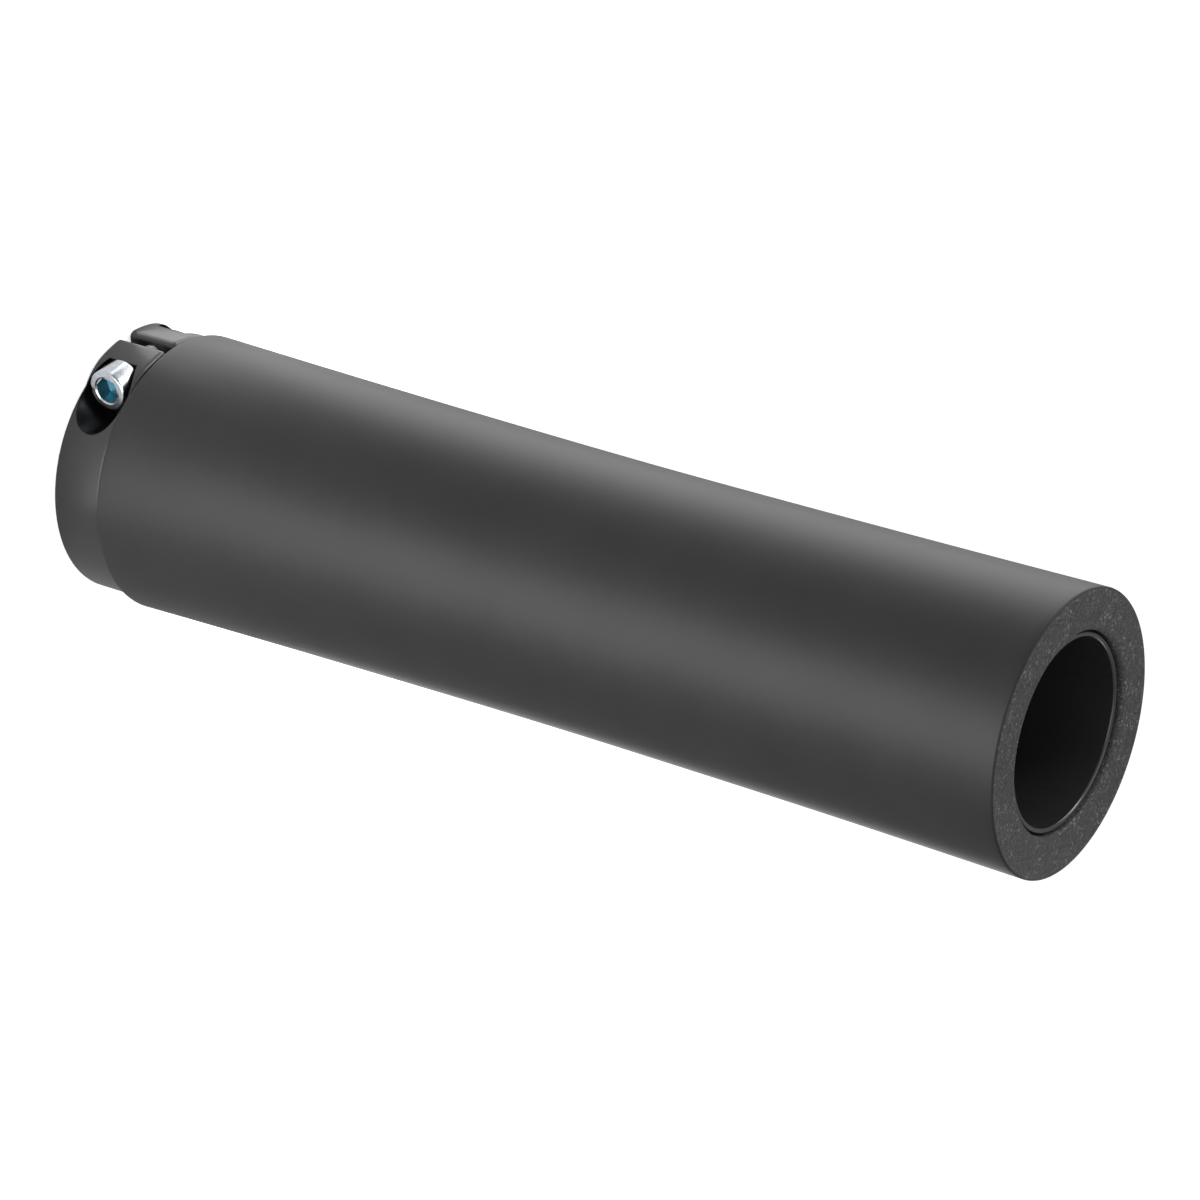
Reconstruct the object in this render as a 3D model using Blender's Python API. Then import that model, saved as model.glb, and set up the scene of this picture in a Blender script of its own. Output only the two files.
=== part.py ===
"""A foam handlebar cover that locks to a 22.2 mm bicycle bar with one clamp.

Four pieces: a waisted foam cover on a thin core tube, and a split clamp ring that
one socket-head bolt pinches round the tube's clamp end.

Metres, +Z up. The bar's centre line is Z. The clamp ring's flat end stands on Z = 0
and the cut end of the foam faces up. The ring's slit opens towards +Y, and the bolt
runs along +X, with its head on the -X side.
"""

import math

import bmesh
import bpy
from mathutils import Matrix, Vector

MM = 0.001

# The bar and the fits
BAR_DIAMETER = 22.2 * MM
BAR_CLEARANCE = 0.05 * MM  # radial, between the bar and the core tube
BOND_GAP = 0.2 * MM  # radial, round the core tube, under the foam and under the ring
SEAT_GAP = 0.15 * MM  # under the bolt head
END_GAP = 0.25 * MM  # between the ring and the foam
THREAD_CLEARANCE = 0.15 * MM  # radial, round the bolt's shank

# Core tube
CORE_WALL = 0.7 * MM
CORE_RECESS = 0.6 * MM  # how far each end of the tube lies inside the cover
CORE_LIP = 0.3 * MM  # radius of the tube's rounded lip
SLOT_WIDTH = 2.0 * MM
SLOT_DEPTH = 5.0 * MM  # how far each slot runs on under the foam, past the ring
SLOT_COUNT = 4

# Foam cover
COVER_LENGTH = 134.0 * MM  # from the ring's flat end to the cut end of the foam
FOAM_AT_CUT_END = 5.11 * MM  # foam thickness, here and in the next two
FOAM_AT_WAIST = 4.52 * MM
FOAM_AT_CLAMP = 5.42 * MM
WAIST_HEIGHT = 74.0 * MM
CUT_END_FLARE = 1.7  # power of the curve from the waist to the cut end
CLAMP_FLARE = 1.55  # power of the curve from the waist to the clamp end
CLAMP_EDGE = 0.4 * MM  # rounding of the clamp end's outer edge
CUT_EDGE = 0.25 * MM  # rounding of the cut end's outer edge
MOUTH_EDGE = 0.5 * MM  # rounding of the cut end's inner edge

# Clamp bolt: an M4 x 10 socket screw with a slim head
THREAD_DIAMETER = 4.0 * MM
BOLT_LENGTH = 10.0 * MM  # under the head
HEAD_DIAMETER = 5.3 * MM
HEAD_HEIGHT = 3.5 * MM
HEAD_EDGE = 0.3 * MM
TIP_CHAMFER = 0.5 * MM
SOCKET_WIDTH = 3.0 * MM  # across the hexagon's flats
SOCKET_DEPTH = 2.0 * MM
SOCKET_CONE = 0.4 * MM

# Clamp ring
RING_WALL = 4.55 * MM
EAR_RISE = 0.85 * MM  # how far the two ears stand above the ring's round
EAR_SPREAD = 15.0  # degrees from the slit to where each ear begins to fall
EAR_FALL = 7.5 * MM  # radius of that fall
EAR_EDGE = 0.8 * MM
EAR_GRIP = 4.1 * MM  # metal between the bolt's seat and the slit
THREADED_DEPTH = 4.0 * MM  # of the far ear, which the bolt screws into
SLIT_WIDTH = 1.4 * MM
FLAT_END_CHAMFER = 0.15 * MM
FOAM_SIDE_CHAMFER = 0.35 * MM
HEAD_ROOM = 0.55 * MM  # radial, between the bolt head and its counterbore
TIP_ROOM = 1.2 * MM  # radial, round the bolt's tip where it comes out
BOLT_WEB = 0.2 * MM  # metal between the bolt's hole and the bore
END_WEB = 0.25 * MM  # metal between the counterbore and the ring's flat end
FOAM_SIDE_WEB = 0.4 * MM
RUN_OUT_DROP = 0.7 * MM  # how much deeper the counterbore is where it runs out of the ring
RUN_OUT_START = 2.0 * MM  # from the bolt's seat

# Facets
ROUND_STEPS = 96
BOLT_STEPS = 48
EDGE_STEPS = 3  # in a round edge of a turned piece
CORNER_STEPS = 4  # in a corner of the ring's outline
FOAM_STEPS = 24  # along the foam's long curves
PAST = 1.0 * MM  # how far a cutter runs past what it cuts

# Radii and heights that follow
core_inner = BAR_DIAMETER / 2 + BAR_CLEARANCE
core_outer = core_inner + CORE_WALL
bonded_radius = core_outer + BOND_GAP
ring_outer = bonded_radius + RING_WALL
hole_radius = THREAD_DIAMETER / 2 + THREAD_CLEARANCE
counterbore_radius = HEAD_DIAMETER / 2 + HEAD_ROOM
relief_radius = THREAD_DIAMETER / 2 + TIP_ROOM
ring_width = END_WEB + 2 * counterbore_radius + FOAM_SIDE_WEB
foam_bottom = ring_width + END_GAP
bolt_height = bonded_radius + BOLT_WEB + hole_radius
bolt_z = END_WEB + counterbore_radius
seat_x = -SLIT_WIDTH / 2 - EAR_GRIP
run_out_x = seat_x - RUN_OUT_START
relief_x = SLIT_WIDTH / 2 + THREADED_DEPTH


def clear_scene():
    for thing in list(bpy.data.objects):
        bpy.data.objects.remove(thing, do_unlink=True)


def material(name, colour, roughness, metallic=0.0):
    made = bpy.data.materials.new(name)
    made.use_nodes = True
    shader = made.node_tree.nodes["Principled BSDF"]
    shader.inputs["Base Color"].default_value = (*colour, 1.0)
    shader.inputs["Roughness"].default_value = roughness
    shader.inputs["Metallic"].default_value = metallic
    return made


def add_object(name, bm, finish=None):
    """The bmesh as a named object, shaded smooth except at its sharp edges."""
    bmesh.ops.recalc_face_normals(bm, faces=bm.faces)
    mesh = bpy.data.meshes.new(name)
    bm.to_mesh(mesh)
    bm.free()
    mesh.shade_smooth()
    mesh.set_sharp_from_angle(angle=math.radians(35))
    made = bpy.data.objects.new(name, mesh)
    if finish:
        mesh.materials.append(finish)
    bpy.context.scene.collection.objects.link(made)
    return made


def turned(name, profile, steps, finish=None):
    """A closed (radius, z) profile turned once round Z."""
    bm = bmesh.new()
    corners = [bm.verts.new((radius, 0, z)) for radius, z in profile]
    edges = [bm.edges.new(pair) for pair in zip(corners, corners[1:] + corners[:1])]
    bmesh.ops.spin(
        bm,
        geom=corners + edges,
        cent=(0, 0, 0),
        axis=(0, 0, 1),
        angle=2 * math.pi,
        steps=steps,
        use_merge=True,
    )
    bmesh.ops.remove_doubles(bm, verts=bm.verts, dist=1e-7)
    return add_object(name, bm, finish)


def arc(centre, radii, start, end, steps):
    """Points on an elliptical arc, with angles in degrees and both ends included."""
    points = []
    for i in range(steps + 1):
        angle = math.radians(start + (end - start) * i / steps)
        x = centre[0] + radii[0] * math.cos(angle)
        y = centre[1] + radii[1] * math.sin(angle)
        points.append((x, y))
    return points


def as_cutter(cutter):
    cutter.hide_render = True
    cutter.display_type = "WIRE"
    return cutter


def cut(target, cutter):
    modifier = target.modifiers.new(cutter.name, "BOOLEAN")
    modifier.operation = "DIFFERENCE"
    modifier.solver = "EXACT"
    modifier.object = as_cutter(cutter)


def lay_on_bolt_axis(thing, along=0.0, below=0.0):
    """Turns an upright piece's +Z to +X and sets it on the bolt's axis, or below it."""
    turn = Matrix.Rotation(math.radians(90), 4, "Y")
    thing.matrix_world = Matrix.Translation((along, bolt_height - below, bolt_z)) @ turn


def foam_radius(z):
    """The foam's outer radius: slimmest at the waist, and flared towards both ends."""
    if z > WAIST_HEIGHT:
        share = (z - WAIST_HEIGHT) / (COVER_LENGTH - WAIST_HEIGHT)
        thickness = FOAM_AT_WAIST + (FOAM_AT_CUT_END - FOAM_AT_WAIST) * share**CUT_END_FLARE
    else:
        share = (WAIST_HEIGHT - z) / (WAIST_HEIGHT - foam_bottom)
        thickness = FOAM_AT_WAIST + (FOAM_AT_CLAMP - FOAM_AT_WAIST) * share**CLAMP_FLARE
    return bonded_radius + thickness


def rounded(radius, z, size, start, end):
    """A round corner of a profile, centred on (radius, z)."""
    return arc((radius, z), (size, size), start, end, EDGE_STEPS)


def make_foam_cover():
    top = COVER_LENGTH - CUT_EDGE
    bottom = foam_bottom + CLAMP_EDGE
    long_side = []
    for i in range(1, FOAM_STEPS):
        z = top + (bottom - top) * i / FOAM_STEPS
        long_side.append((foam_radius(z), z))
    cut_edge = rounded(foam_radius(top) - CUT_EDGE, top, CUT_EDGE, 90, 0)
    clamp_edge = rounded(foam_radius(bottom) - CLAMP_EDGE, bottom, CLAMP_EDGE, 0, -90)
    mouth = rounded(bonded_radius + MOUTH_EDGE, COVER_LENGTH - MOUTH_EDGE, MOUTH_EDGE, 180, 90)
    profile = cut_edge + long_side + clamp_edge + [(bonded_radius, foam_bottom)] + mouth
    finish = material("foam_black", (0.018, 0.018, 0.019), 0.85)
    return turned("foam_cover", profile, ROUND_STEPS, finish)


def make_core_tube():
    top = COVER_LENGTH - CORE_RECESS - CORE_LIP
    outside = rounded(core_outer - CORE_LIP, top, CORE_LIP, 90, 0)
    inside = rounded(core_inner + CORE_LIP, top, CORE_LIP, 180, 90)
    profile = outside + [(core_outer, CORE_RECESS), (core_inner, CORE_RECESS)] + inside
    tube = turned("core_tube", profile, ROUND_STEPS, material("core_plastic", (0.012, 0.012, 0.013), 0.25))
    # Slots let the ring squeeze the tube's clamp end onto the bar.
    for i in range(SLOT_COUNT):
        bm = bmesh.new()
        bmesh.ops.create_cube(bm, size=1.0)
        slot_top = ring_width + SLOT_DEPTH
        size = (SLOT_WIDTH, core_outer, slot_top + PAST)
        bmesh.ops.scale(bm, vec=size, verts=bm.verts)
        middle = Vector((0, core_outer - CORE_WALL / 2, (slot_top - PAST) / 2))
        turn = Matrix.Rotation(2 * math.pi * i / SLOT_COUNT, 4, "Z")
        bmesh.ops.transform(bm, matrix=turn @ Matrix.Translation(middle), verts=bm.verts)
        cut(tube, add_object(f"slot_cutter_{i + 1}", bm))
    return tube


def ring_outline():
    """The ring's outline in plan: a round, two raised ears and the slit between them."""
    half_slit = SLIT_WIDTH / 2
    top = ring_outer + EAR_RISE
    # The corner is a small arc that touches the ear's top and the slit's wall.
    corner_x = half_slit + EAR_EDGE
    corner_y = math.sqrt((top - EAR_EDGE) ** 2 - corner_x**2)
    meets = math.degrees(math.atan2(corner_y, corner_x))
    far_corner = arc((corner_x, corner_y), (EAR_EDGE, EAR_EDGE), 180, meets, CORNER_STEPS)
    # The fall is an arc that touches the ear's top and runs into the ring's round.
    falls = 90 - EAR_SPREAD
    out = top - EAR_FALL
    centre = (out * math.cos(math.radians(falls)), out * math.sin(math.radians(falls)))
    along = (ring_outer**2 - EAR_FALL**2 + out**2) / (2 * out)
    aside = math.sqrt(ring_outer**2 - along**2)
    on_round = falls - math.degrees(math.atan2(aside, along))
    on_fall = falls - math.degrees(math.atan2(aside, along - out))
    far_ear = arc((0, 0), (top, top), meets, falls, CORNER_STEPS)[1:]
    far_ear += arc(centre, (EAR_FALL, EAR_FALL), falls, on_fall, 2 * CORNER_STEPS)[1:]
    around = round(ROUND_STEPS * (180 + 2 * on_round) / 360)
    main_round = arc((0, 0), (ring_outer, ring_outer), on_round, -180 - on_round, around)[1:-1]
    far_half = far_corner + far_ear
    near_half = [(-x, y) for x, y in reversed(far_half)]
    bore_start = math.degrees(math.acos(half_slit / bonded_radius))
    bore = arc((0, 0), (bonded_radius, bonded_radius), 180 - bore_start, 360 + bore_start, ROUND_STEPS)
    return far_half + main_round + near_half + bore


def make_clamp_ring():
    bm = bmesh.new()
    outline = [bm.verts.new((x, y, 0)) for x, y in ring_outline()]
    face = bm.faces.new(outline)
    raised = bmesh.ops.extrude_face_region(bm, geom=[face])["geom"]
    moved = [item for item in raised if isinstance(item, bmesh.types.BMVert)]
    bmesh.ops.translate(bm, vec=(0, 0, ring_width), verts=moved)
    for height, chamfer in ((0, FLAT_END_CHAMFER), (ring_width, FOAM_SIDE_CHAMFER)):
        rims = [e for e in bm.edges if all(abs(v.co.z - height) < MM / 100 for v in e.verts)]
        bmesh.ops.bevel(
            bm, geom=rims, offset=chamfer, offset_type="OFFSET", segments=1, profile=0.5, affect="EDGES"
        )
    ring =add_object("clamp_ring", bm, material("anodised_black", (0.02, 0.02, 0.022), 0.35, 0.6))

    # One stepped hole: the head's counterbore, the bolt's hole and the relief round its tip.
    reach = ring_outer + EAR_RISE + PAST
    stepped = [
        (0, reach),
        (relief_radius, reach),
        (relief_radius, relief_x),
        (hole_radius, relief_x),
        (hole_radius, seat_x),
        (counterbore_radius, seat_x),
        (counterbore_radius, -reach),
        (0, -reach),
    ]
    drill = turned("bolt_hole_cutter", stepped, BOLT_STEPS)
    lay_on_bolt_axis(drill)
    cut(ring, drill)
    long = reach + run_out_x
    disc = [(0, 0), (counterbore_radius, 0), (counterbore_radius, -long), (0, -long)]
    run_out = turned("run_out_cutter", disc, BOLT_STEPS)
    lay_on_bolt_axis(run_out, run_out_x, RUN_OUT_DROP)
    cut(ring, run_out)
    return ring


def make_clamp_bolt():
    """Modelled upright, with the tip up and the head's seat at Z = 0, then laid on its axis."""
    shank = THREAD_DIAMETER / 2
    head = HEAD_DIAMETER / 2
    profile = [
        (0, BOLT_LENGTH),
        (shank - TIP_CHAMFER, BOLT_LENGTH),
        (shank, BOLT_LENGTH - TIP_CHAMFER),
        (shank, 0),
        (head, 0),
    ]
    profile += rounded(head - HEAD_EDGE, HEAD_EDGE - HEAD_HEIGHT, HEAD_EDGE, 0, -90)
    profile.append((0, -HEAD_HEIGHT))
    bolt =turned("clamp_bolt", profile, BOLT_STEPS, material("zinc_plate", (0.72, 0.73, 0.75), 0.2, 1.0))
    # The hexagon socket ends in a shallow drill cone.
    across_corners = SOCKET_WIDTH / math.cos(math.pi / 6)
    bm = bmesh.new()
    rims = []
    for z, radius in (
        (-HEAD_HEIGHT - PAST, across_corners / 2),
        (SOCKET_DEPTH - HEAD_HEIGHT, across_corners / 2),
    ):
        rims.append([bm.verts.new((x, y, z)) for x, y in arc((0, 0), (radius, radius), 0, 300, 5)])
    point = bm.verts.new((0, 0, SOCKET_DEPTH - HEAD_HEIGHT + SOCKET_CONE))
    bm.faces.new(rims[0])
    for i in range(6):
        after = (i + 1) % 6
        bm.faces.new((rims[0][i], rims[0][after], rims[1][after], rims[1][i]))
        bm.faces.new((rims[1][i], rims[1][after], point))
    socket = add_object("socket_cutter", bm)
    for thing in (bolt, socket):
        lay_on_bolt_axis(thing, seat_x - SEAT_GAP)
    cut(bolt, socket)
    return bolt


def main():
    clear_scene()
    make_foam_cover()
    make_core_tube()
    make_clamp_ring()
    make_clamp_bolt()


main()
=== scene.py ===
import math

import bmesh
import bpy
from mathutils import Matrix, Vector, noise


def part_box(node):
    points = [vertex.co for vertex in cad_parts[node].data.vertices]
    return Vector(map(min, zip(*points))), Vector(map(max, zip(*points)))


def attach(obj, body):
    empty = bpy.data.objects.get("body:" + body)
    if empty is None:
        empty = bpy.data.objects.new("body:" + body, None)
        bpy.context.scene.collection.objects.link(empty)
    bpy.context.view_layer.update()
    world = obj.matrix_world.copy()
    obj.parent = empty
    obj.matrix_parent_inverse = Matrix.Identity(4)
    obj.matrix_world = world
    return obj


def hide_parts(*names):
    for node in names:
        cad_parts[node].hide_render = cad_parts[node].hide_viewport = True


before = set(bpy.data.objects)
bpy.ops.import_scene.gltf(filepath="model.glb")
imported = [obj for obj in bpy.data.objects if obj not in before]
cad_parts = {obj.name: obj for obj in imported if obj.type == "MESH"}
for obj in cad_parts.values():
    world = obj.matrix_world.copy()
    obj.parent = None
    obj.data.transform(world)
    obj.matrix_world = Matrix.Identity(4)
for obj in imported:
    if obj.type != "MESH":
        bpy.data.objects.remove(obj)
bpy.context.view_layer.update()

MM = 0.001

# Boxes of the solids, read from the frame
foam_low, foam_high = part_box("foam_cover")
core_low, core_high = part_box("core_tube")
ring_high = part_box("clamp_ring")[1]
bolt_low, bolt_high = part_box("clamp_bolt")

# Core tube
CORE_WALL = 0.7 * MM
CORE_INNER = core_high.x - CORE_WALL
LIP_ROUND = 0.33 * MM
SLOT_WIDTH = 2.0 * MM
SLOT_DEPTH = 5.0 * MM  # how far each slot runs on under the foam, past the ring
SLOT_CUTTER = 13.0 * MM
SLOT_COUNT = 4

# Foam cover
BOND_GAP = 0.2 * MM
FOAM_BORE = core_high.x + BOND_GAP
FOAM_WAIST = FOAM_BORE + 4.52 * MM
FOAM_CUT_END = FOAM_BORE + 5.11 * MM
FOAM_CLAMP_END = FOAM_BORE + 5.42 * MM
WAIST_Z = 74 * MM
CUT_END_FLARE = 1.7
CLAMP_FLARE = 1.55
CLAMP_EDGE = 0.4 * MM
CUT_EDGE = 0.22 * MM
MOUTH_EDGE = 0.5 * MM
SKIN_DRIFT = 0.035 * MM

# Clamp ring
RING_OUTER = FOAM_BORE + 4.55 * MM
RING_WIDTH = ring_high.z
EAR_TOP = RING_OUTER + 0.85 * MM
EAR_FALL = 7.5 * MM
EAR_FALLS_AT = 75  # degrees round from +X, where each ear's pad ends
EAR_EDGE = 0.8 * MM
HALF_SLIT = 0.7 * MM
FLAT_END_CHAMFER = 0.15 * MM
FLAT_END_BREAK = 0.03 * MM
FOAM_SIDE_CHAMFER = 0.35 * MM
FOAM_SIDE_BREAK = 0.05 * MM

# Clamp bolt, which lies along X, with its head towards -X
BOLT_Y = (bolt_low.y + bolt_high.y) / 2
BOLT_Z = (bolt_low.z + bolt_high.z) / 2
HEAD_RADIUS = (bolt_high.y - bolt_low.y) / 2
HEAD_HEIGHT = 3.5 * MM
HEAD_EDGE = 0.3 * MM
HEAD_BACK_EDGE = 0.12 * MM
SHANK_RADIUS = 2.0 * MM
SHANK_LENGTH = bolt_high.x - bolt_low.x - HEAD_HEIGHT
TIP_INSET = 0.1 * MM
TIP_TAPER = 0.3 * MM
SOCKET_WIDTH = 3.0 * MM
SOCKET_DEPTH = 2.0 * MM
SOCKET_CONE = 0.4 * MM
SOCKET_LEAD_IN = 0.14 * MM
LEAD_IN_STEP = 0.02 * MM
SOCKET_TURN = 12  # degrees
PITCH = 0.7 * MM
THREAD_FROM = 0.6 * MM
THREAD_TO = SHANK_LENGTH - 0.35 * MM
THREAD_DEPTH = 0.4 * MM
THREAD_SUNK = 0.03 * MM
THREAD_ROOT_HALF = 0.33 * MM
THREAD_CREST_HALF = 0.05 * MM

# Bolt hole, by places along X
SEAT_X = -4.8 * MM
RELIEF_X = 4.7 * MM
RUN_OUT_X = SEAT_X - 2.0 * MM
RUN_OUT_DROP = 0.7 * MM
COUNTERBORE = HEAD_RADIUS + 0.55 * MM
HOLE_RADIUS = SHANK_RADIUS + 0.15 * MM
RELIEF_RADIUS = SHANK_RADIUS + 1.2 * MM
REACH = 20 * MM

# Slots of the finishes on one mesh
SKIN, CUT_FACE, CUT_SKIN = 0, 1, 2
TURNED, BORED, CHAMFERED = 0, 1, 2
PLATED, SOCKET = 0, 1

# Sockets of a Mix node for colours, which has several of the same name
MIX_SHARE, MIX_A, MIX_B, MIX_RESULT = 0, 6, 7, 2

# The shader's own sockets, by short names
SHADER_INPUTS = {
    "colour": "Base Color",
    "metallic": "Metallic",
    "roughness": "Roughness",
    "ior": "IOR",
    "specular": "Specular IOR Level",
}


def link(name, bm, smooth_angle=35):
    mesh = bpy.data.meshes.new(name)
    bmesh.ops.recalc_face_normals(bm, faces=bm.faces)
    bm.to_mesh(mesh)
    bm.free()
    mesh.shade_smooth()
    mesh.set_sharp_from_angle(angle=math.radians(smooth_angle))
    obj = bpy.data.objects.new(name, mesh)
    bpy.context.scene.collection.objects.link(obj)
    return obj


def ride(obj, node):
    """The finished piece stands for its CAD node on the one body."""
    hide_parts(node)
    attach(obj, "root")


def turned(name, profile, steps, smooth_angle=35):
    """A closed (radius, z) profile turned once round Z."""
    bm = bmesh.new()
    corners = [bm.verts.new((r, 0, z)) for r, z in profile]
    edges = [bm.edges.new(pair) for pair in zip(corners, corners[1:] + corners[:1])]
    bmesh.ops.spin(
        bm,
        geom=corners + edges,
        cent=(0, 0, 0),
        axis=(0, 0, 1),
        angle=2 * math.pi,
        steps=steps,
        use_merge=True,
    )
    bmesh.ops.remove_doubles(bm, verts=bm.verts, dist=1e-7)
    return link(name, bm, smooth_angle)


def arc(centre, radii, start, end, steps):
    """Points on an arc between two angles in degrees, with both ends."""
    points = []
    for i in range(steps + 1):
        a = math.radians(start + (end - start) * i / steps)
        points.append((centre[0] + radii[0] * math.cos(a), centre[1] + radii[1] * math.sin(a)))
    return points


def spaced(start, end, count):
    """Points between two (radius, z) ends, without the ends."""
    found = []
    for i in range(1, count):
        t = i / count
        found.append((start[0] + (end[0] - start[0]) * t, start[1] + (end[1] - start[1]) * t))
    return found


def give_finishes(obj, finishes, index):
    """All the finishes as slots, in one order, and every face in the slot at index."""
    for finish in finishes:
        obj.data.materials.append(finish)
    for face in obj.data.polygons:
        face.material_index = index


def subtract(target, cutter):
    """Cuts and keeps the result as the target's own mesh. Cut faces keep the cutter's slot."""
    modifier = target.modifiers.new("cut", "BOOLEAN")
    modifier.operation = "DIFFERENCE"
    modifier.solver = "EXACT"
    modifier.object = cutter
    bpy.context.view_layer.update()
    graph = bpy.context.evaluated_depsgraph_get()
    made = bpy.data.meshes.new_from_object(target.evaluated_get(graph))
    target.modifiers.clear()
    target.data = made
    bpy.data.objects.remove(cutter)


def lay_on_bolt_axis(obj, along=0.0, below=0.0):
    """Turns a piece made round Z onto the bolt's line, its +Z along +X."""
    turn = Matrix.Rotation(math.radians(90), 4, "Y")
    obj.data.transform(Matrix.Translation((along, BOLT_Y - below, BOLT_Z)) @ turn)


def new_material(name, **values):
    """A material, its node tree and its shader, with the shader's own sockets set."""
    material = bpy.data.materials.new(name)
    material.use_nodes = True
    tree = material.node_tree
    shader = tree.nodes["Principled BSDF"]
    for key, value in values.items():
        socket = shader.inputs[SHADER_INPUTS[key]]
        socket.default_value = (*value, 1) if key == "colour" else value
    return material, tree, shader


def add(tree, kind, **values):
    """A node with its sockets and properties set by name."""
    node = tree.nodes.new(kind)
    for name, value in values.items():
        if name in node.inputs:
            node.inputs[name].default_value = value
        else:
            setattr(node, name, value)
    return node


def millimetres(tree):
    """The object's own coordinates, in millimetres."""
    where = tree.nodes.new("ShaderNodeTexCoord")
    mapping = tree.nodes.new("ShaderNodeMapping")
    mapping.inputs["Scale"].default_value = (1 / MM, 1 / MM, 1 / MM)
    tree.links.new(where.outputs["Object"], mapping.inputs["Vector"])
    return mapping.outputs["Vector"]


def cloud(tree, where, scale, detail, roughness=0.5):
    texture = add(tree, "ShaderNodeTexNoise", Scale=scale, Detail=detail, Roughness=roughness)
    tree.links.new(where, texture.inputs["Vector"])
    return texture.outputs["Fac"]


def ramp(tree, source, stops):
    """A source turned into colours, by (place, colour) stops."""
    node = tree.nodes.new("ShaderNodeValToRGB")
    elements = node.color_ramp.elements
    while len(elements) > 1:
        elements.remove(elements[-1])
    elements[0].position = stops[0][0]
    elements[0].color = (*stops[0][1], 1)
    for place, colour in stops[1:]:
        elements.new(place).color = (*colour, 1)
    tree.links.new(source, node.inputs["Fac"])
    return node.outputs["Color"]


def roughen(tree, shader, height, strength, distance, normal=None):
    """A bump on the shader, over another normal where one is given."""
    bump = add(tree, "ShaderNodeBump", Strength=strength, Distance=distance)
    tree.links.new(height, bump.inputs["Height"])
    if normal:
        tree.links.new(normal, bump.inputs["Normal"])
    tree.links.new(bump.outputs["Normal"], shader.inputs["Normal"])


def foam_skin():
    """Closed skin of silicone foam: dull, with a very fine grain."""
    material, tree, shader = new_material("foam_skin", roughness=0.5, specular=0.5)
    where = millimetres(tree)
    dark = (0.018, 0.018, 0.0182)
    light = (0.022, 0.022, 0.0222)
    tone = ramp(tree, cloud(tree, where, 0.12, 3.0), [(0.3, dark), (0.7, light)])
    tree.links.new(tone, shader.inputs["Base Color"])
    roughen(tree, shader, cloud(tree, where, 5.0, 2.0, 0.6), 0.25, 0.04 * MM)
    return material


def foam_cut():
    """The cut face, where the foam's cells lie open: painted glints stand for cell walls that catch the
    light, and painted shade darkens the cells' pits.
    """
    material, tree, shader = new_material("foam_cut", roughness=0.55)
    where = millimetres(tree)
    cells = cloud(tree, where, 2.6, 3.0, 0.7)
    glint_clump_noise = cloud(tree, where, 0.45, 2.0)
    painted_glint_noise = cloud(tree, where, 3.1, 1.0)
    # Painted shade: the tone follows the bump's noise, darker where the surface sinks into the open
    # cells
    painted_pit_shade = (0.024, 0.024, 0.025)
    middle = (0.044, 0.044, 0.045)
    high = (0.078, 0.078, 0.080)
    tone = ramp(tree, cells, [(0.34, painted_pit_shade), (0.50, middle), (0.66, high)])
    # Painted glints: light flecks in the base colour, gathered in clumps, stand in for cell walls
    # catching the light
    painted_glints = ramp(tree, painted_glint_noise, [(0.58, (0, 0, 0)), (0.70, (1, 1, 1))])
    painted_glint_clumps = ramp(tree, glint_clump_noise, [(0.42, (0.1, 0.1, 0.1)), (0.60, (1, 1, 1))])
    share = add(tree, "ShaderNodeMath", operation="MULTIPLY")
    tree.links.new(painted_glints, share.inputs[0])
    tree.links.new(painted_glint_clumps, share.inputs[1])
    mix = add(tree, "ShaderNodeMix", data_type="RGBA")
    # The light grey of the painted glints
    mix.inputs[MIX_B].default_value = (0.22, 0.22, 0.225, 1)
    tree.links.new(share.outputs[0], mix.inputs[MIX_SHARE])
    tree.links.new(tone, mix.inputs[MIX_A])
    tree.links.new(mix.outputs[MIX_RESULT], shader.inputs["Base Color"])
    roughen(tree, shader, cells, 0.6, 0.3 * MM)
    return material


def skin_edge():
    """The dense skin where it is cut through, a thin line round the cut face."""
    return new_material("skin_edge", colour=(0.021, 0.021, 0.0212), roughness=0.6, specular=0.35)[0]


def core_plastic():
    """Glossy moulded plastic with faint waves."""
    colour = (0.027, 0.027, 0.0275)
    material, tree, shader = new_material("core_plastic", colour=colour, ior=1.7, roughness=0.22)
    roughen(tree, shader, cloud(tree, millimetres(tree), 0.5, 2.0), 0.15, 0.05 * MM)
    return material


def anodised_black():
    """Satin black anodising over a turned surface, its corners slightly worn."""
    colour = (0.012, 0.012, 0.0125)
    material, tree, shader = new_material("anodised_black", colour=colour, ior=1.7, roughness=0.36)
    grain = cloud(tree, millimetres(tree), 9.0, 3.0, 0.6)
    edge = add(tree, "ShaderNodeBevel", samples=4, Radius=0.06 * MM)
    roughen(tree, shader, grain, 0.12, 0.02 * MM, edge.outputs["Normal"])
    return material


def bored_painted_shade():
    """The ring's bored places, smoother than its turned outside and painted blacker: painted shade in
    the counterbore, the hole and the relief.
    """
    return new_material("bored_painted_shade", colour=(0.003, 0.003, 0.003), roughness=0.3, specular=0.35)[0]


def chamfer_painted_highlight():
    """The chamfer towards the foam, painted a little lighter than the rest: a painted highlight along
    the edge.
    """
    return new_material("chamfer_painted_highlight", colour=(0.055, 0.055, 0.057), ior=1.7, roughness=0.34)[0]


def socket_tint_and_shade():
    """Inside the bolt's socket the plating keeps its blue tint, and is painted darker than the head:
    painted shade in the socket.
    """
    return new_material("socket_tint_and_shade", colour=(0.17, 0.34, 0.40), metallic=1.0, roughness=0.25)[0]


def zinc_plate():
    """Bright zinc, slightly hazy and slightly blue."""
    material, tree, shader = new_material("zinc_plate", metallic=1.0, roughness=0.24)
    haze = cloud(tree, millimetres(tree), 2.5, 3.0)
    tone = ramp(tree, haze, [(0.35, (0.55, 0.59, 0.65)), (0.65, (0.72, 0.75, 0.79))])
    tree.links.new(tone, shader.inputs["Base Color"])
    return material


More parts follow.
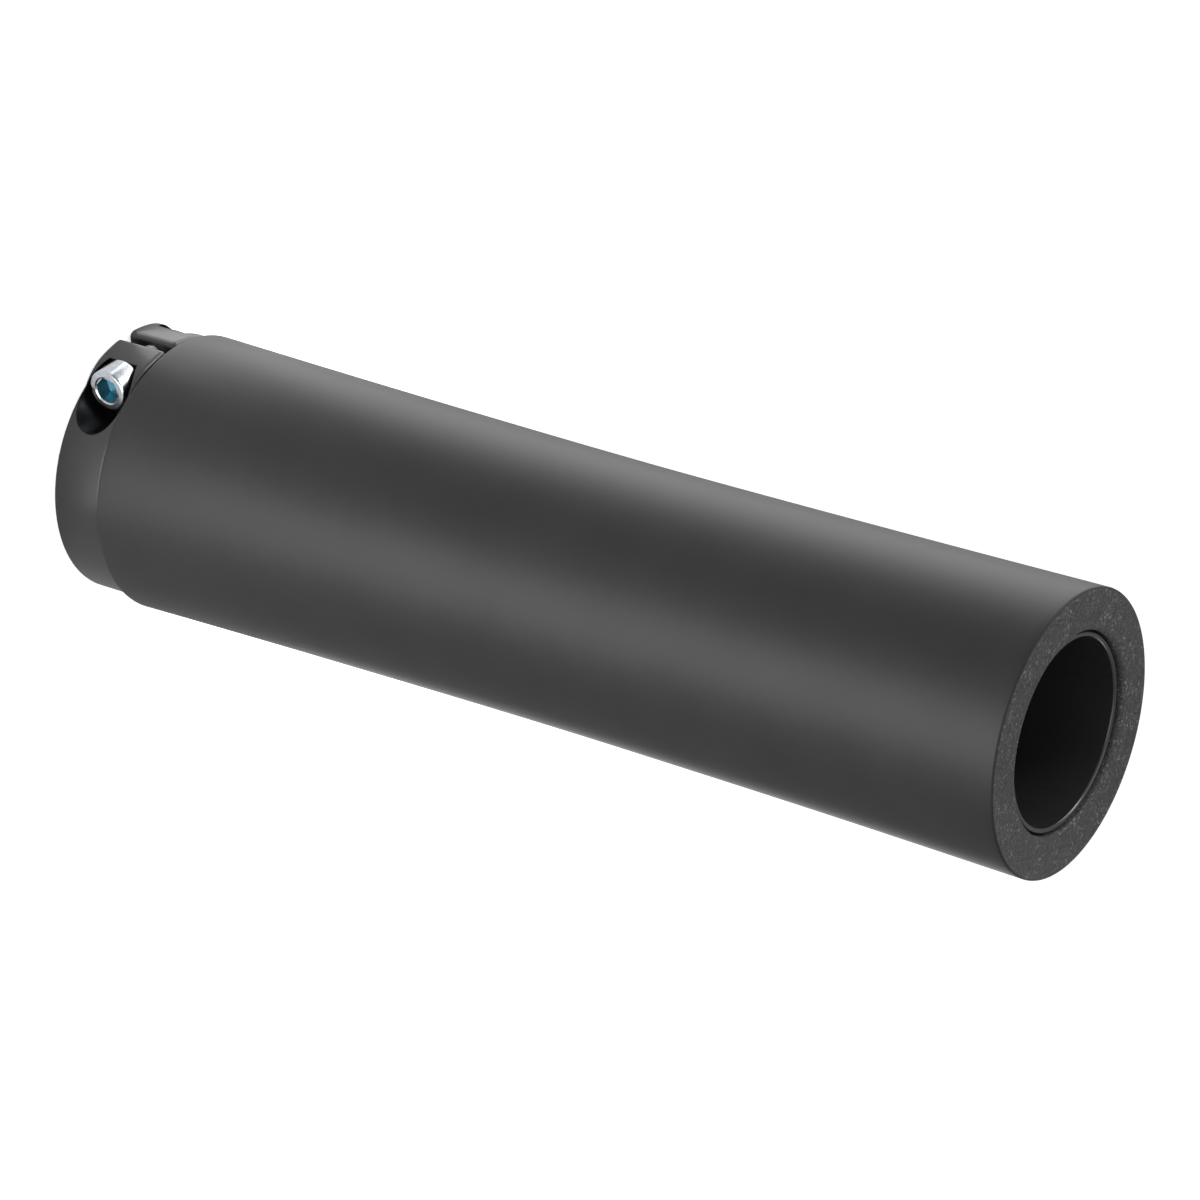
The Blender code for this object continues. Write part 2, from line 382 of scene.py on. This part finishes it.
def foam_radius(z):
    """The foam's outside, which flares from its waist to both ends."""
    if z > WAIST_Z:
        t = (z - WAIST_Z) / (foam_high.z - WAIST_Z)
        return FOAM_WAIST + (FOAM_CUT_END - FOAM_WAIST) * t**CUT_END_FLARE
    t = (WAIST_Z - z) / (WAIST_Z - foam_low.z)
    return FOAM_WAIST + (FOAM_CLAMP_END - FOAM_WAIST) * t**CLAMP_FLARE


def drifted(co):
    """Moulded foam is never quite true: its skin wanders by a few hundredths of a millimetre."""
    drift = noise.noise(Vector((co.x * 45, co.y * 45, co.z * 28))) * SKIN_DRIFT
    fade = min((foam_high.z - co.z) / (3 * MM), (co.z - foam_low.z) / (2 * MM), 1)
    factor = 1 + drift * max(fade, 0) / math.hypot(co.x, co.y)
    return Vector((co.x * factor, co.y * factor, co.z))


def make_foam_cover(finishes):
    top = foam_high.z
    bottom = foam_low.z
    highest = top - CUT_EDGE
    lowest = bottom + CLAMP_EDGE
    face_radius = foam_radius(highest) - CUT_EDGE
    rows = 110
    profile = arc((face_radius, highest), (CUT_EDGE, CUT_EDGE), 90, 0, 4)
    for i in range(1, rows):
        z = highest + (lowest - highest) * i / rows
        profile.append((foam_radius(z), z))
    clamp_corner = (foam_radius(lowest) - CLAMP_EDGE, lowest)
    profile += arc(clamp_corner, (CLAMP_EDGE, CLAMP_EDGE), 0, -90, 8)
    profile.append((FOAM_BORE, bottom))
    profile += spaced((FOAM_BORE, bottom), (FOAM_BORE, top - MOUTH_EDGE), 4)
    mouth = arc((FOAM_BORE + MOUTH_EDGE, top - MOUTH_EDGE), (MOUTH_EDGE, MOUTH_EDGE), 180, 90, 5)
    profile += mouth
    profile += spaced(mouth[-1], profile[0], 12)
    cover = turned("foam_cover_detail", profile, 256, 40)
    for vertex in cover.data.vertices:
        if math.hypot(vertex.co.x, vertex.co.y) >= FOAM_BORE + MM:
            vertex.co = drifted(vertex.co)
    give_finishes(cover, finishes, SKIN)
    for face in cover.data.polygons:
        radius = math.hypot(face.center.x, face.center.y)
        if radius > face_radius and face.center.z > highest:
            face.material_index = CUT_SKIN
        elif radius < FOAM_BORE + 0.1 * MM:
            face.material_index = CUT_FACE
        elif radius < face_radius and face.center.z > top - MOUTH_EDGE - 0.1 * MM:
            face.material_index = CUT_FACE
    ride(cover, "foam_cover")


def make_core_tube(finish):
    outer = core_high.x
    top = core_high.z
    round_lip = (LIP_ROUND, LIP_ROUND)
    profile = arc((outer - LIP_ROUND, top - LIP_ROUND), round_lip, 90, 0, 6)
    profile += [(outer, core_low.z), (CORE_INNER, core_low.z)]
    profile += arc((CORE_INNER + LIP_ROUND, top - LIP_ROUND), round_lip, 180, 90, 6)
    tube = turned("core_tube_detail", profile, 192)
    middle = Vector((0, outer - CORE_WALL / 2, RING_WIDTH + SLOT_DEPTH - SLOT_CUTTER / 2))
    for i in range(SLOT_COUNT):
        bm = bmesh.new()
        bmesh.ops.create_cube(bm, size=1.0)
        bmesh.ops.scale(bm, vec=(SLOT_WIDTH, outer, SLOT_CUTTER), verts=bm.verts)
        turn = Matrix.Rotation(2 * math.pi * i / SLOT_COUNT, 4, "Z")
        bmesh.ops.transform(bm, matrix=turn @ Matrix.Translation(middle), verts=bm.verts)
        subtract(tube, link("slot", bm))
    tube.data.materials.clear()
    tube.data.materials.append(finish)
    ride(tube, "core_tube")


def ring_outline():
    """The ring seen along the bar, clockwise: two ears beside the slit, the round, and the bore."""
    ear_x = HALF_SLIT + EAR_EDGE
    ear_y = math.sqrt((EAR_TOP - EAR_EDGE) ** 2 - ear_x**2)
    meets = math.degrees(math.atan2(ear_y, ear_x))
    out = EAR_TOP - EAR_FALL
    turn = math.radians(EAR_FALLS_AT)
    centre = (out * math.cos(turn), out * math.sin(turn))
    along = (RING_OUTER**2 - EAR_FALL**2 + out**2) / (2 * out)
    aside = math.sqrt(RING_OUTER**2 - along**2)
    on_round = EAR_FALLS_AT - math.degrees(math.atan2(aside, along))
    on_fall = EAR_FALLS_AT - math.degrees(math.atan2(aside, along - out))
    corner = arc((ear_x, ear_y), (EAR_EDGE, EAR_EDGE), 180, meets, 10)
    pad = arc((0, 0), (EAR_TOP, EAR_TOP), meets, EAR_FALLS_AT, 12)[1:]
    fall = arc(centre, (EAR_FALL, EAR_FALL), EAR_FALLS_AT, on_fall, 20)[1:]
    far_half = corner + pad + fall
    round_part = arc((0, 0), (RING_OUTER, RING_OUTER), on_round, -180 - on_round, 150)[1:-1]
    near_half = [(-x, y) for x, y in reversed(far_half)]
    slit_end = math.degrees(math.acos(HALF_SLIT / FOAM_BORE))
    bore = arc((0, 0), (FOAM_BORE, FOAM_BORE), 180 - slit_end, 360 + slit_end, 192)
    return far_half + round_part + near_half + bore


def inset(points, distance):
    """The closed outline moved inwards, into the metal. It runs clockwise."""
    moved = []
    count = len(points)
    for i in range(count):
        here = Vector(points[i])
        first = (here - Vector(points[i - 1])).normalized()
        second = (Vector(points[(i + 1) % count]) - here).normalized()
        side_a = Vector((first.y, -first.x))
        side_b = Vector((second.y, -second.x))
        middle = (side_a + side_b).normalized()
        # The limit keeps a sharp corner from running far into the metal
        moved.append(here + middle * distance / max(middle.dot(side_b), 0.3))
    return moved


def chamfer_rows(size, soft):
    """(inset, height) rows of a chamfer whose two corners are slightly broken."""
    near = size - 0.6 * soft
    far = size + soft
    return [(far, 0.0), (near, 0.45 * soft), (0.45 * soft, near), (0.0, far), (0.0, far + 2 * soft)]


def make_clamp_ring(finishes):
    outline = ring_outline()
    levels = chamfer_rows(FLAT_END_CHAMFER, FLAT_END_BREAK)
    foam_side = chamfer_rows(FOAM_SIDE_CHAMFER, FOAM_SIDE_BREAK)
    levels += [(distance, RING_WIDTH - z) for distance, z in reversed(foam_side)]
    bm = bmesh.new()
    rows = []
    for distance, z in levels:
        rows.append([bm.verts.new((p[0], p[1], z)) for p in inset(outline, distance)])
    count = len(outline)
    for low, high in zip(rows, rows[1:]):
        for i in range(count):
            j = (i + 1) % count
            bm.faces.new((low[i], low[j], high[j], high[i]))
    bm.faces.new(rows[0])
    bm.faces.new(rows[-1])
    ring = link("clamp_ring_detail", bm)
    give_finishes(ring, finishes, TURNED)
    stepped = [
        (0, REACH),
        (RELIEF_RADIUS, REACH),
        (RELIEF_RADIUS, RELIEF_X),
        (HOLE_RADIUS, RELIEF_X),
        (HOLE_RADIUS, SEAT_X),
        (COUNTERBORE, SEAT_X),
        (COUNTERBORE, -REACH),
        (0, -REACH),
    ]
    drill = turned("drill", stepped, 96)
    # The bored faces take the blacker finish, painted shade in the ring's recesses
    give_finishes(drill, finishes, BORED)
    lay_on_bolt_axis(drill)
    subtract(ring, drill)
    run_out = turned("run_out", [(0, 0), (COUNTERBORE, 0), (COUNTERBORE, -REACH), (0, -REACH)], 96)
    give_finishes(run_out, finishes, BORED)
    lay_on_bolt_axis(run_out, RUN_OUT_X, RUN_OUT_DROP)
    subtract(ring, run_out)
    # Faces of the chamfer towards the foam take the lighter finish, a painted highlight
    for face in ring.data.polygons:
        leans_to_foam = 0.3 < face.normal.z < 0.95
        if face.material_index == TURNED and leans_to_foam:
            face.material_index = CHAMFERED
    ring.data.shade_smooth()
    ring.data.set_sharp_from_angle(angle=math.radians(35))
    weighted = ring.modifiers.new("even shading", "WEIGHTED_NORMAL")
    weighted.keep_sharp = True
    weighted.weight = 100
    ride(ring, "clamp_ring")


def make_clamp_bolt(finishes):
    """The bolt without its thread, made head down round Z, with 0 at the head's seat."""
    root = SHANK_RADIUS - THREAD_DEPTH
    across = SOCKET_WIDTH / math.cos(math.pi / 6) / 2
    lead_in = SOCKET_LEAD_IN - HEAD_HEIGHT
    profile = [(0, SHANK_LENGTH), (root - TIP_INSET, SHANK_LENGTH), (root, SHANK_LENGTH - TIP_TAPER)]
    profile += [(root, 0), (HEAD_RADIUS - HEAD_BACK_EDGE, 0), (HEAD_RADIUS, -HEAD_BACK_EDGE)]
    head_corner = (HEAD_RADIUS - HEAD_EDGE, HEAD_EDGE - HEAD_HEIGHT)
    profile += arc(head_corner, (HEAD_EDGE, HEAD_EDGE), 0, -90, 8)
    profile += [(across + SOCKET_LEAD_IN, -HEAD_HEIGHT), (across - LEAD_IN_STEP, lead_in), (0, lead_in)]
    bolt = turned("clamp_bolt_detail", profile, 96)
    give_finishes(bolt, finishes, PLATED)
    socket_end = SOCKET_DEPTH - HEAD_HEIGHT
    bm = bmesh.new()
    rims = []
    for z in (-HEAD_HEIGHT - MM, socket_end):
        corners = arc((0, 0), (across, across), SOCKET_TURN, SOCKET_TURN + 300, 5)
        rims.append([bm.verts.new((x, y, z)) for x, y in corners])
    point = bm.verts.new((0, 0, socket_end + SOCKET_CONE))
    bm.faces.new(rims[0])
    for i in range(6):
        j = (i + 1) % 6
        bm.faces.new((rims[0][i], rims[0][j], rims[1][j], rims[1][i]))
        bm.faces.new((rims[1][i], rims[1][j], point))
    hexagon = link("hexagon", bm)
    # The socket's faces take the darker blue finish, painted shade in the recess
    give_finishes(hexagon, finishes, SOCKET)
    subtract(bolt, hexagon)
    bolt.data.shade_smooth()
    bolt.data.set_sharp_from_angle(angle=math.radians(35))
    lay_on_bolt_axis(bolt, bolt_low.x + HEAD_HEIGHT)
    ride(bolt, "clamp_bolt")


def make_thread(finish):
    """The screw thread along the shank, as one helical ridge that fades in and out."""
    steps = 32
    total = int((THREAD_TO - THREAD_FROM) / PITCH * steps)
    root = SHANK_RADIUS - THREAD_DEPTH - THREAD_SUNK
    bm = bmesh.new()
    before = None
    for i in range(total + 1):
        a = 2 * math.pi * i / steps
        z = THREAD_FROM + PITCH * i / steps
        fade = min(1, i / (steps / 2), (total - i) / (steps / 2))
        crest = root + (SHANK_RADIUS - root) * fade
        section = [
            (root, -THREAD_ROOT_HALF),
            (crest, -THREAD_CREST_HALF),
            (crest, THREAD_CREST_HALF),
            (root, THREAD_ROOT_HALF),
        ]
        row = [bm.verts.new((r * math.cos(a), r * math.sin(a), z + dz)) for r, dz in section]
        if before:
            for k in range(3):
                bm.faces.new((before[k], before[k + 1], row[k + 1], row[k]))
            bm.faces.new((before[3], before[0], row[0], row[3]))
        else:
            bm.faces.new(row)
        before = row
    bm.faces.new(before)
    thread = link("clamp_bolt_thread", bm)
    lay_on_bolt_axis(thread, bolt_low.x + HEAD_HEIGHT)
    thread.data.materials.append(finish)
    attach(thread, "root")


def aim(obj, target, roll=0.0):
    """Points the object's -Z at the target, then rolls it about that line."""
    look = Vector(target) - obj.location
    turn = look.to_track_quat("-Z", "Y").to_matrix()
    obj.rotation_euler = (turn @ Matrix.Rotation(roll, 3, "Z")).to_euler()


def make_camera():
    data = bpy.data.cameras.new("camera")
    data.sensor_width = 36
    data.lens = 162.0
    camera = bpy.data.objects.new("camera", data)
    bpy.context.scene.collection.objects.link(camera)
    camera.location = (-0.445336, 0.322815, 0.396433)
    aim(camera, (-0.000352, -0.000485, 0.070071), math.radians(106.571))
    bpy.context.view_layer.update()
    bpy.context.scene.camera = camera


def area_lamp(name, size, brightness):
    """A lamp that the camera doesn't see. Its brightness is a radiance."""
    data = bpy.data.lights.new(name, "AREA")
    data.shape = "RECTANGLE"
    data.size, data.size_y = size
    data.energy = brightness * math.pi * size[0] * size[1]
    lamp = bpy.data.objects.new(name, data)
    bpy.context.scene.collection.objects.link(lamp)
    lamp.visible_camera = False
    return lamp


def softbox(name, azimuth, height, distance, size, brightness, target):
    """An area lamp round the object, its azimuth counted in degrees from +X."""
    lamp = area_lamp(name, size, brightness)
    a = math.radians(azimuth)
    lamp.location = (distance * math.cos(a), distance * math.sin(a), height)
    aim(lamp, target)


def floor_card(name, low, high, brightness):
    """An area lamp on the floor beside the part, between two (x, y) corners, that shines up."""
    lamp = area_lamp(name, (high[0] - low[0], high[1] - low[1]), brightness)
    lamp.location = ((low[0] + high[0]) / 2, (low[1] + high[1]) / 2, 0.0005)
    lamp.rotation_euler = (math.pi, 0, 0)


def make_lamps():
    # Strips that stand round the part, for the light bands along the foam
    softbox("front strip", 163, 0.075, 0.055, (0.038, 0.15), 2.2, (0, 0, 0.075))
    softbox("back strip", 41, 0.1, 0.055, (0.046, 0.2), 2.05, (0, 0, 0.1))
    softbox("far strip", 291, 0.075, 0.055, (0.024, 0.15), 2.0, (0, 0, 0.075))
    # Cards on the floor, which carry the bands on to the clamp
    floor_card("front card", (-0.055, 0.0), (-0.022, 0.022), 0.7)
    floor_card("back card", (0.001, 0.0178), (0.045, 0.037), 1.5)
    # Light from above, for the core's lip, the ring's chamfer and the cut face
    softbox("side lamp", 52, 0.45, 0.45, (0.10, 0.13), 10.0, (0, 0, 0.13))
    softbox("camera side", 178, 0.48, 0.38, (0.36, 0.15), 2.0, (0, 0, 0.01))
    softbox("overhead", 60, 0.9, 0.25, (0.5, 0.5), 1.1, (0, 0, 0.066))


def seen_strength(tree, plain, seen, mirrored):
    """A strength that is plain for diffuse light, with more where the camera or a mirror looks."""
    path = tree.nodes.new("ShaderNodeLightPath")
    either = add(tree, "ShaderNodeMath", operation="MAXIMUM")
    tree.links.new(path.outputs["Is Glossy Ray"], either.inputs[0])
    tree.links.new(path.outputs["Is Transmission Ray"], either.inputs[1])
    low = add(tree, "ShaderNodeMath", operation="MULTIPLY_ADD")
    low.inputs[1].default_value = mirrored
    low.inputs[2].default_value = plain
    tree.links.new(either.outputs[0], low.inputs[0])
    total = add(tree, "ShaderNodeMath", operation="MULTIPLY_ADD")
    total.inputs[1].default_value = seen
    tree.links.new(path.outputs["Is Camera Ray"], total.inputs[0])
    tree.links.new(low.outputs[0], total.inputs[2])
    return total.outputs[0]


def make_floor():
    bm = bmesh.new()
    bmesh.ops.create_grid(bm, x_segments=1, y_segments=1, size=4.0)
    floor = link("floor", bm)
    floor.location.z = -0.2 * MM
    material, tree, shader = new_material("floor", colour=(0.8, 0.8, 0.8), roughness=0.9, specular=0.1)
    shader.inputs["Emission Color"].default_value = (1, 1, 1, 1)
    tree.links.new(seen_strength(tree, 0.0, 0.76, 0.08), shader.inputs["Emission Strength"])
    floor.data.materials.append(material)


def make_world():
    world = bpy.data.worlds.new("studio")
    bpy.context.scene.world = world
    world.use_nodes = True
    tree = world.node_tree
    ground = tree.nodes["Background"]
    ground.inputs["Color"].default_value = (1, 1, 1, 1)
    tree.links.new(seen_strength(tree, 0.25, 0.75, 0.1), ground.inputs["Strength"])


def main():
    make_foam_cover((foam_skin(), foam_cut(), skin_edge()))
    make_core_tube(core_plastic())
    make_clamp_ring((anodised_black(), bored_painted_shade(), chamfer_painted_highlight()))
    zinc = zinc_plate()
    make_clamp_bolt((zinc, socket_tint_and_shade()))
    make_thread(zinc)
    make_camera()
    make_lamps()
    make_floor()
    make_world()
    bpy.context.scene.view_settings.view_transform = "Standard"


main()
